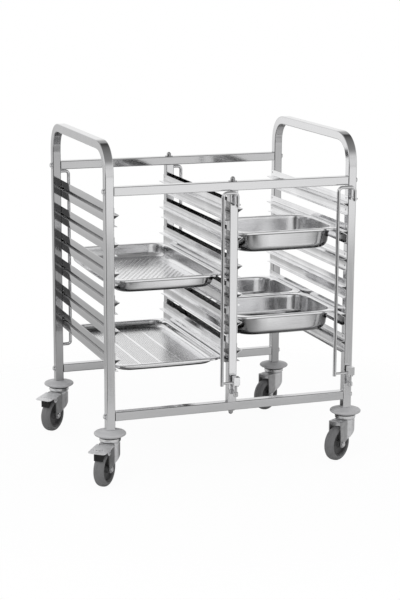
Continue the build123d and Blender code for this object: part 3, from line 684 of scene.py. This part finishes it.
def wheelPieces(s):
    # closed (r, h) sections swung round each axle
    outer, inner, half = s["outer"], s["inner"], s["half"]
    crown = [(outer - 0.35, 0.0), (outer, 0.9), (outer - 0.1, 3.5), (outer - 0.9, 7.5), (outer - 2.6, 11.0),
             (outer - 5.2, 13.6), (outer - 7.6, half - 0.4), (42.0, half - 0.05), (41.2, half),
             (40.6, half - 0.9), (40.0, half - 1.0), (38.6, half - 1.0), (inner + 0.05, half - 1.6)]
    tyre = crown[::-1] + [(r, -h) for r, h in crown[1:]]
    face = [(inner + 0.03, 12.4), (35.6, 12.9), (33.8, 12.7), (32.6, 11.4), (32.0, 7.0), (31.0, 4.6),
            (29.0, 4.0), (24.0, 4.0), (16.0, 4.6), (12.6, 5.6), (11.4, 8.0), (10.9, 13.0), (10.2, 13.9),
            (9.4, 14.0), (4.02, 14.0)]
    core = face + [(r, -h) for r, h in face[::-1]]
    parts = ((tyre, "tyre", "tyre", "tyre_rubber"), (core, "wheel_core", "core", "wheel_plastic"))
    for castor in castors:
        turn = jointNamed(castor + "_wheel_turn")
        for profile, part, finish, slot in parts:
            node = castor + "_" + part
            points, sets = revolved(profile, [turn["pos_m"]], [turn["axis"]], s["turns"])
            meshPiece(node + "Turned", points, sets, finish, castor + "_wheel", (node,), 30)


wheelPieces(wheelLook)
print("wheels turned")


# Forks: pressed sheet, a round skirt about the king bolt running into two flat cheeks under a crown

forkLook = {
    "outer": 21.0, "round": 28.0, "sheet": 3.0, "skirt": 22.0,      # half width, skirt's radius and height
    "trail": 42.0, "axle": 50.0, "foot": 11.0, "footSteps": 13,     # where the axle is, and the foot round it
    "pin": (60.0, 103.0), "ear": 5.5, "earFrom": 0.15, "earSteps": 7,      # the brake pin, the ear round it
    "trim": 32.0, "hair": 0.02,      # where a braked fork's crown ends, and the width of a step
    "ease": 5.0, "easeTurn": 9.0, "easeSteps": 7, "arcSteps": 17, "straightSteps": 5,      # cheek into skirt
    "edge": 0.5, "edgeShare": 0.2, "bendShare": 0.4, "bendSteps": 6, "rows": 7,
    "bore": 6.1, "rays": 64, "leastSlope": 0.01,
    "shadePaint": (0.75, 0.70, 0.30),      # painted shade on the cheeks, the skirt's front and the crown
    "cheekFrom": 17.0, "cheekEase": 5.0, "frontFrom": 1.9, "frontEase": 1.1,      # where the first two begin
}


def forkPath(s, braked):
    # half of the plan from a cheek's end to the front: straight, a short blend (1-t)^2 A + 2t(1-t) B + t^2 C,
    # an arc; then its mirror image
    crease = math.acos(math.sqrt(s["round"] ** 2 - s["outer"] ** 2) / s["round"])
    corner = np.array([s["round"] * math.cos(crease), s["outer"]])
    first = corner + [s["ease"], 0]
    foot = s["trail"] - s["foot"] * np.cos(np.linspace(math.pi, 0, s["footSteps"]))
    along = np.concatenate([foot, np.linspace(foot[-1], first[0], s["straightSteps"])[1:]])
    if braked:
        ear = s["pin"][0] + s["ear"] * np.cos(np.linspace(s["earFrom"], math.pi / 2, s["earSteps"]))
        steps = [s["trail"] + s["foot"] + s["hair"], s["trim"] + s["hair"], s["trim"]]
        along = np.sort(np.concatenate([ear, along, steps]))[::-1]
    straight = np.stack([along, np.full_like(along, s["outer"])], 1)
    turn = crease + math.radians(s["easeTurn"])
    last = s["round"] * onCircle(turn)
    t = np.linspace(0, 1, s["easeSteps"])[1:-1, None]
    blend = (1 - t) ** 2 * first + 2 * t * (1 - t) * corner + t ** 2 * last
    arc = s["round"] * onCircle(np.linspace(turn, math.pi, s["arcSteps"]))
    half = np.concatenate([straight, blend, arc])
    return np.concatenate([half, half[-2::-1] * [1, -1]])


def forkEdges(s, along, crown, braked):
    # lower edge: a slope from the skirt to the round foot; upper edge: the crown, or past it the brake's ear
    neck = s["trail"] - s["foot"]
    slope = (crown - s["skirt"] - s["axle"]) / (neck + s["round"])
    dip = np.sqrt(np.clip(s["foot"] ** 2 - (along - s["trail"]) ** 2, 0, None))
    low = np.where(along > neck, s["axle"] - dip, s["axle"] + (neck - along) * slope)
    high = np.full_like(along, crown)
    if braked:
        lift = np.sqrt(np.clip(s["ear"] ** 2 - np.clip(along - s["pin"][0], 0, None) ** 2, 0, None))
        high = np.where(along > s["trim"], s["pin"][1] + lift, high)
        low = np.where(along > s["trail"] + s["foot"], s["pin"][1] - lift, low)
    return low, high


def forkSection(s, low, high):
    # round the sheet at each plan point: up the outside, over a quarter bend, down the inside;
    # gives inset and height
    tall = high - low
    bend = np.minimum(s["sheet"], tall * s["bendShare"])
    edge = np.minimum(s["edge"], tall * s["edgeShare"])
    swing = np.linspace(0, math.pi / 2, s["bendSteps"])[1:]
    rise = (low + edge)[:, None] + (tall - edge - bend)[:, None] * np.linspace(0, 1, s["rows"])
    over = (high - bend)[:, None] + bend[:, None] * np.sin(swing)
    sheet = np.full_like(low, s["sheet"])
    inset = np.concatenate([
        np.zeros_like(rise), np.broadcast_to(s["sheet"] * (1 - np.cos(swing)), over.shape),
        np.stack([sheet, sheet, sheet - edge, edge], 1)], 1)
    return inset, np.concatenate([rise, over, np.stack([high - bend, low + edge, low, low], 1)], 1)


def forkCrown(s, crown, braked):
    # the crown plate: rays from the bore out to the inside of the wall, over and under;
    # gives angle, radius and level
    inner = s["outer"] - s["sheet"]
    reach = s["trim"] if braked else s["trail"] + s["foot"]
    tip = math.atan2(inner, reach)
    rays = np.linspace(-math.pi, math.pi, s["rays"], endpoint=False)
    angle = np.sort(np.concatenate([rays, [tip, -tip]]))
    least = s["leastSlope"]
    forward = np.where(np.cos(angle) > least, reach / np.clip(np.cos(angle), least, None), 0)
    sideways = inner / np.clip(np.abs(np.sin(angle)), least, None)
    out = np.maximum(s["round"] - s["sheet"], np.minimum(forward, sideways))
    bore = np.full_like(out, s["bore"])
    radius = np.stack([bore, out, out, bore], 1)
    level = crown - s["sheet"] * np.array([0, 0, 1, 1])
    return angle, radius, np.broadcast_to(level, radius.shape)


def forkPiece(s, castor):
    # wall: each plan point carries a closed section; crown: a plate of rays; both turned to the axle's side
    braked = castor.endswith("left")
    king = np.array(jointNamed(castor + "_swivel_turn")["pos_m"])[:2] / mm
    way = unit(np.array(jointNamed(castor + "_wheel_turn")["pos_m"])[:2] / mm - king)
    side = leftOf(way)
    crown = boxOf(castor + "_fork")[1][2]
    plan = forkPath(s, braked)
    along = plan[:, 0]
    inset, height = forkSection(s, *forkEdges(s, along, crown, braked))
    flat = plan[:, None] + normalsOf(plan)[:, None] * inset[..., None]
    wall = np.concatenate([king + flat[..., :1] * way + flat[..., 1:] * side, height[..., None]], 2)
    angle, radius, level = forkCrown(s, crown, braked)
    ray = np.cos(angle)[:, None] * way + np.sin(angle)[:, None] * side
    plate = np.concatenate([king + radius[..., None] * ray[:, None], level[..., None]], 2)
    points = np.concatenate([wall.reshape(-1, 3), plate.reshape(-1, 3)]) * mm
    count, rows = height.shape
    ends = np.array([np.arange(rows), np.arange(rows) + (count - 1) * rows])
    faces = [gridFaces(count, rows, closeV=True), ends, gridFaces(len(angle), 4, True, True) + count * rows]
    node = castor + "_fork"
    piece = meshPiece(node + "Pressed", points, faces, "fork", castor + "_swivel", (node,), 40)
    # painted shade on the cheeks, the skirt's front and the crown
    bearing = np.abs(np.arctan2(plan[:, 1], along))
    cheek = ramp(along, s["cheekFrom"], s["cheekEase"]) * s["shadePaint"][0]
    front = ramp(bearing, s["frontFrom"], s["frontEase"]) * s["shadePaint"][1]
    onWall = np.repeat(np.maximum(front, cheek), rows)
    setPaintedShade(piece, np.concatenate([onWall, np.full(radius.size, s["shadePaint"][2])]))


for castorName in castors:
    forkPiece(forkLook, castorName)
print("forks pressed")


# Bumpers: saucers with a soft rim and a sloping underside, and a near-black ring painted as the shade in the
# gap above each race

bumperLook = {"bore": 6.1, "rim": 45.0, "turns": 72}


def bumperPiece(s):
    # a closed (r, h) section swung round each leg, h counted from the floor
    low, high = boxOf("castor_bumpers")
    top, foot = high[2], low[2]
    rim, bore = s["rim"], s["bore"]
    saucer = [(bore, top), (19.0, top), (20.5, top - 0.7), (30.0, top - 3.2), (39.0, top - 5.4),
              (42.4, top - 6.6), (44.3, top - 8.2), (rim, top - 10.2), (rim - 0.3, top - 12.0),
              (43.4, foot + 5.2), (40.5, foot + 3.4), (36.0, foot + 1.4), (32.5, foot + 0.3), (30.5, foot),
              (bore, foot)]
    # a thin near-black ring painted as the shade in the gap above each race
    gap = [(28.0, foot - 0.02), (30.06, foot - 0.02), (30.06, foot - 3.2), (28.0, foot - 3.2)]
    span = ((high - low)[:2] / 2 - rim) * mm
    places = [(x * span[0], y * span[1], 0) for x in (-1, 1) for y in (-1, 1)]
    axes = [(0, 0, 1)] * len(places)
    parts = (("bumperSaucers", saucer, "bumper", "bumper_rubber", ("castor_bumpers",)),
             ("raceGapShadows", gap, "shoe", "zinc", ()))
    for name, profile, finish, slot, replaced in parts:
        points, sets = revolved(profile, places, axes, s["turns"])
        meshPiece(name, points, sets, finish, "frame", replaced, 35)


bumperPiece(bumperLook)
print("bumpers turned")


# Hoops: square tube drawn round its two bends, the curve easing in and out of each straight

hoopLook = {
    "tube": 25.0, "corner": 2.5, "turns": 6, "edge": 0.5, "reach": 88.0, "steps": 40, "footGap": 0.05,
    "shadePaint": 1.7, "sideShare": 0.25,      # painted shade on the rear leg, and how much of it on its sides
    "stretch": 3.0, "fade": 65.0, "fadeLong": 40.0, "ease": 10.0,      # painted shade on the bends, in degrees from the top
}


def hoopPiece(s, side):
    # the heading turns a quarter by 3tt - 2ttt along each bend, and the section rides square to the heading
    low, high = boxOf("end_hoop_" + side)
    share = np.linspace(0, 1, s["steps"] + 1)
    heading = np.pi / 2 * (3 * share ** 2 - 2 * share ** 3)
    moves = np.stack([np.sin(heading), np.cos(heading)], -1)
    bend = np.concatenate([[[0, 0]], np.cumsum((moves[1:] + moves[:-1]) / 2, 0)])
    bend *= s["reach"] / bend[-1, 0]
    half = s["tube"] / 2
    rear, crown, foot = high[1] - half, high[2] - half, low[2] + s["footGap"]
    first = np.concatenate([[[-rear, foot]], bend + [-rear, crown - s["reach"]]])
    line = np.concatenate([first, first[::-1] * [-1, 1]])
    lean = np.concatenate([[0], heading])
    lean = np.concatenate([lean, np.pi - lean[::-1]])
    x, y = roundBox(half, half, s["corner"], s["turns"])
    arcs = np.stack([x, y], -1).reshape(4, s["turns"] + 1, 2)
    after = np.roll(arcs, -1, 0)[:, :1]
    edge = s["edge"] / (2 * (half - s["corner"]))
    nearer = arcs[:, -1:] * (1 - edge) + after * edge
    further = arcs[:, -1:] * edge + after * (1 - edge)
    section = np.concatenate([arcs, nearer, further], 1).reshape(-1, 2)
    points = spread(
        (low[0] + high[0]) / 2 + section[:, 0], line[:, :1] - np.cos(lean)[:, None] * section[:, 1],
        line[:, 1:] + np.sin(lean)[:, None] * section[:, 1])
    ends = np.arange(len(section))[None] + np.array([[0], [len(line) - 1]]) * len(section)
    faces = gridFaces(len(line), len(section), closeV=True)
    piece = meshPiece("hoop" + side.capitalize(), points * mm, [faces, ends], "hoop", "frame",
                      ("end_hoop_" + side,), 35)
    # painted shade down the rear leg, and on the faces of the bends that show
    behind = ramp(lean, np.pi / 2, np.pi / 2)[:, None]
    inside = section[:, 1] < s["corner"] - half
    outside = section[:, 1] > half - s["corner"]
    fromTop = np.degrees(np.abs(lean - np.pi / 2))[:, None]
    bent = s["stretch"] * ramp(-fromTop, -s["fade"], s["fadeLong"]) * ramp(fromTop, 0, s["ease"])
    shadePaint = behind * np.where(inside, s["shadePaint"], s["shadePaint"] * s["sideShare"])
    setPaintedShade(piece, np.maximum(shadePaint, bent * np.where(behind > 0, inside, outside)))


for hoopSide in ("left", "right"):
    hoopPiece(hoopLook, hoopSide)
print("hoops bent")


# Seams: the thin dark joint round each rail and post end

seamLook = {"tube": 25.0, "proud": 0.08, "long": 0.9, "corner": 3.0, "deep": 1.0, "turns": 4}


def seamPiece(s):
    # a flat square ring round each rail end, standing a hair proud of the tube
    places = []
    for node in ("front_top_rail", "rear_top_rail", "front_bottom_rail", "rear_bottom_rail"):
        low, high = boxOf(node)
        middle = (low + high) / 2
        places += [(x, *middle[1:]) for x in (low[0] + s["long"] / 2, high[0] - s["long"] / 2)]
    inward = np.array([0.0, 0.0, s["deep"], s["deep"]])
    half = s["tube"] / 2 + s["proud"] - inward
    y, z = roundBox(half, half, s["corner"] - inward, s["turns"])
    x = np.array([-0.5, 0.5, 0.5, -0.5])[:, None] * s["long"]
    ring = spread(x, y, z)
    points = np.asarray(places)[:, None, None] + ring[None]
    faces = gridFaces(*ring.shape[:2], closeU=True, closeV=True)
    sets = [copiesOf(faces, len(places), ring.shape[0] * ring.shape[1])]
    meshPiece("railSeams", points * mm, sets, "seam", "frame")


seamPiece(seamLook)
print("seams marked")


# Camera: at the photograph's viewing point

shot = {
    "place": (-1.588, -4.468, 1.480), "yaw": 19.62, "pitch": -12.42, "roll": 0.28,   # degrees
    "lens": 98.24, "sensor": 36.0,
}


def makeCamera(s):
    # looking along Y at first; yaw turns it to the right, pitch up, and roll about its own line of sight
    stand = Matrix.Translation(s["place"])
    for angle, axis in ((-s["yaw"], "Z"), (90 + s["pitch"], "X"), (s["roll"], "Z")):
        stand = stand @ Matrix.Rotation(math.radians(angle), 4, axis)
    data = bpy.data.cameras.new("shotCamera")
    data.lens = s["lens"]
    data.sensor_fit = "VERTICAL"
    data.sensor_height = s["sensor"]
    camera = bpy.data.objects.new("shotCamera", data)
    camera.matrix_world = stand
    bpy.context.scene.collection.objects.link(camera)
    bpy.context.scene.camera = camera


makeCamera(shot)


# Studio: white to the eye, with the soft darker corners that bright steel picks up

studio = {
    "skyLight": 0.85, "pale": 0.92,
    # patches of the mirrored sky: direction, stretch along each axis, reach where one ends and is full, level
    "patches": (
        ((0, 0, -1), (1, 1, 1), 1.00, 0.75, 0.16),                      # dark floor seen in the steel
        ((-0.33, 0.92, -0.12), (1, 1, 1), 0.45, 0.17, 0.62),            # wall behind, to the left
        ((-0.33, 0.90, -0.34), (1, 1, 1), 0.26, 0.08, 0.40),            # its foot, darker
        ((-0.43, 0.895, -0.09), (1, 1, 1), 0.135, 0.06, 0.95),          # its lit end, for the right hoop
        ((0.33, -0.92, -0.20), (1, 1, 1), 0.45, 0.25, 0.50),            # grey wall in front, to the right
        ((0.351, -0.925, -0.144), (1.0, 0.4, 3.5), 0.16, 0.11, 0.95),   # lit strip across it
        ((0.335, -0.885, -0.290), (3.0, 0.6, 0.6), 0.15, 0.10, 0.95),   # lit strip down it
        ((0.34, -0.93, 0.06), (1.0, 0.6, 1.5), 0.34, 0.20, 0.80),       # lit wall above the strips
        ((0.24, 0.30, 0.92), (1, 1, 1), 0.50, 0.30, 0.10),              # dark drape overhead and behind
        ((0.10, -0.35, 0.93), (1, 1, 1), 1.10, 0.50, 0.28),             # ceiling
        ((-0.04, -0.96, -0.28), (1, 1, 1), 0.34, 0.12, 0.16),           # dim gap between them
        ((-0.34, -0.92, -0.20), (1, 1, 1), 0.26, 0.16, 0.12),           # dark side where the camera stands
        ((-0.76, -0.63, -0.10), (1, 1, 1), 0.60, 0.40, 0.10),           # dark screen to its left
        ((0.95, 0.12, -0.20), (1, 1, 1), 0.75, 0.35, 0.30),             # dim screen to the right
    ),
    "floorRadius": 1.30, "floorRings": 12, "floorTurns": 96, "floorFade": 0.35,
    "floorTone": 0.80, "floorGlow": 0.955,
    "floorNear": 0.06, "floorFar": 0.60,      # painted shadow: how the steel sees the floor below the trolley and round it
    "nearEnds": 0.20, "farStarts": 0.42,
}
keyBox = {"place": (-1.6, -1.8, 2.6), "aim": (0, 0, 0.4), "width": 1.6, "height": 1.6, "power": 30}


def grey(level):
    return (level, level, level, 1)


def makeWorld(s):
    # sky seen by the eye is white; the mirrored sky is pale, with each patch's level round its direction
    world = bpy.data.worlds.new("studioWorld")
    bpy.context.scene.world = world
    world.use_nodes = True
    tree = world.node_tree
    tree.nodes.clear()
    path = addNode(tree, "ShaderNodeLightPath").outputs
    heading = addNode(tree, "ShaderNodeTexCoord").outputs["Generated"]
    tone = grey(s["pale"])
    for direction, stretch, ends, full, level in s["patches"]:
        offset = addVector(tree, "SUBTRACT", heading, Vector(direction).normalized())
        reach = addVector(tree, "LENGTH", addVector(tree, "MULTIPLY", offset, stretch))
        tone = addTone(tree, addRamp(tree, reach, ends, full), tone, grey(level))
    mirrorSky, plainSky, eyeSky = (
        addNode(tree, "ShaderNodeBackground", {"Color": colour, "Strength": strength}).outputs[0]
        for colour, strength in ((tone, 1), (grey(1), s["skyLight"]), (grey(1), 1)))
    sharp = addMath(tree, "MAXIMUM", path["Is Glossy Ray"], path["Is Transmission Ray"])
    seen = addBlend(tree, path["Is Camera Ray"], addBlend(tree, sharp, plainSky, mirrorSky), eyeSky)
    addNode(tree, "ShaderNodeOutputWorld", {"Surface": seen})


def makeFloor(s):
    # pale disc on a polar grid, z = 0: white to the eye but for the shadow, fading out at its rim
    rings, turns = s["floorRings"], s["floorTurns"]
    radius = np.linspace(0, s["floorRadius"], rings)[:, None]
    angle = np.linspace(0, 2 * np.pi, turns, endpoint=False)[None, :]
    points = spread(radius * np.cos(angle), radius * np.sin(angle), 0)
    mesh = bpy.data.meshes.new("studioFloor")
    mesh.from_pydata(points.reshape(-1, 3).tolist(), [], gridFaces(rings, turns, closeV=True).tolist())
    floor = bpy.data.objects.new("studioFloor", mesh)
    bpy.context.scene.collection.objects.link(floor)
    mat, tree = newMaterial("studioFloor")[:2]
    tree.nodes.clear()
    path = addNode(tree, "ShaderNodeLightPath").outputs
    reach = addVector(tree, "LENGTH", addNode(tree, "ShaderNodeTexCoord").outputs["Object"])
    # painted shadow: the steel sees the floor dark under the trolley, paler round it
    under = addRamp(tree, reach, s["nearEnds"], s["farStarts"], s["floorNear"], s["floorFar"])
    tone = addTone(tree, path["Is Glossy Ray"], grey(s["floorTone"]), under)
    matte = addNode(tree, "ShaderNodeBsdfDiffuse", {"Color": tone}).outputs[0]
    glow = addNode(tree, "ShaderNodeEmission", {"Color": grey(1)}).outputs[0]
    share = addMath(tree, "MULTIPLY", path["Is Camera Ray"], s["floorGlow"])
    fade = addRamp(tree, reach, s["floorRadius"] - s["floorFade"], s["floorRadius"])
    clear = addNode(tree, "ShaderNodeBsdfTransparent").outputs[0]
    edge = addBlend(tree, fade, addBlend(tree, share, matte, glow), clear)
    addNode(tree, "ShaderNodeOutputMaterial", {"Surface": edge})
    floor.data.materials.append(mat)


def softBox(name, s):
    # a square lamp at its place, looking at its aim, that neither the eye nor the steel sees
    data = bpy.data.lights.new(name, "AREA")
    data.shape = "RECTANGLE"
    data.size = s["width"]
    data.size_y = s["height"]
    data.energy = s["power"]
    lamp = bpy.data.objects.new(name, data)
    facing = (Vector(s["aim"]) - Vector(s["place"])).to_track_quat("-Z", "Y").to_matrix().to_4x4()
    lamp.matrix_world = Matrix.Translation(s["place"]) @ facing
    lamp.visible_glossy = False
    lamp.visible_camera = False
    bpy.context.scene.collection.objects.link(lamp)


makeWorld(studio)
makeFloor(studio)
softBox("keyBox", keyBox)
print("studio ready")

bpy.context.scene.view_settings.view_transform = "Standard"
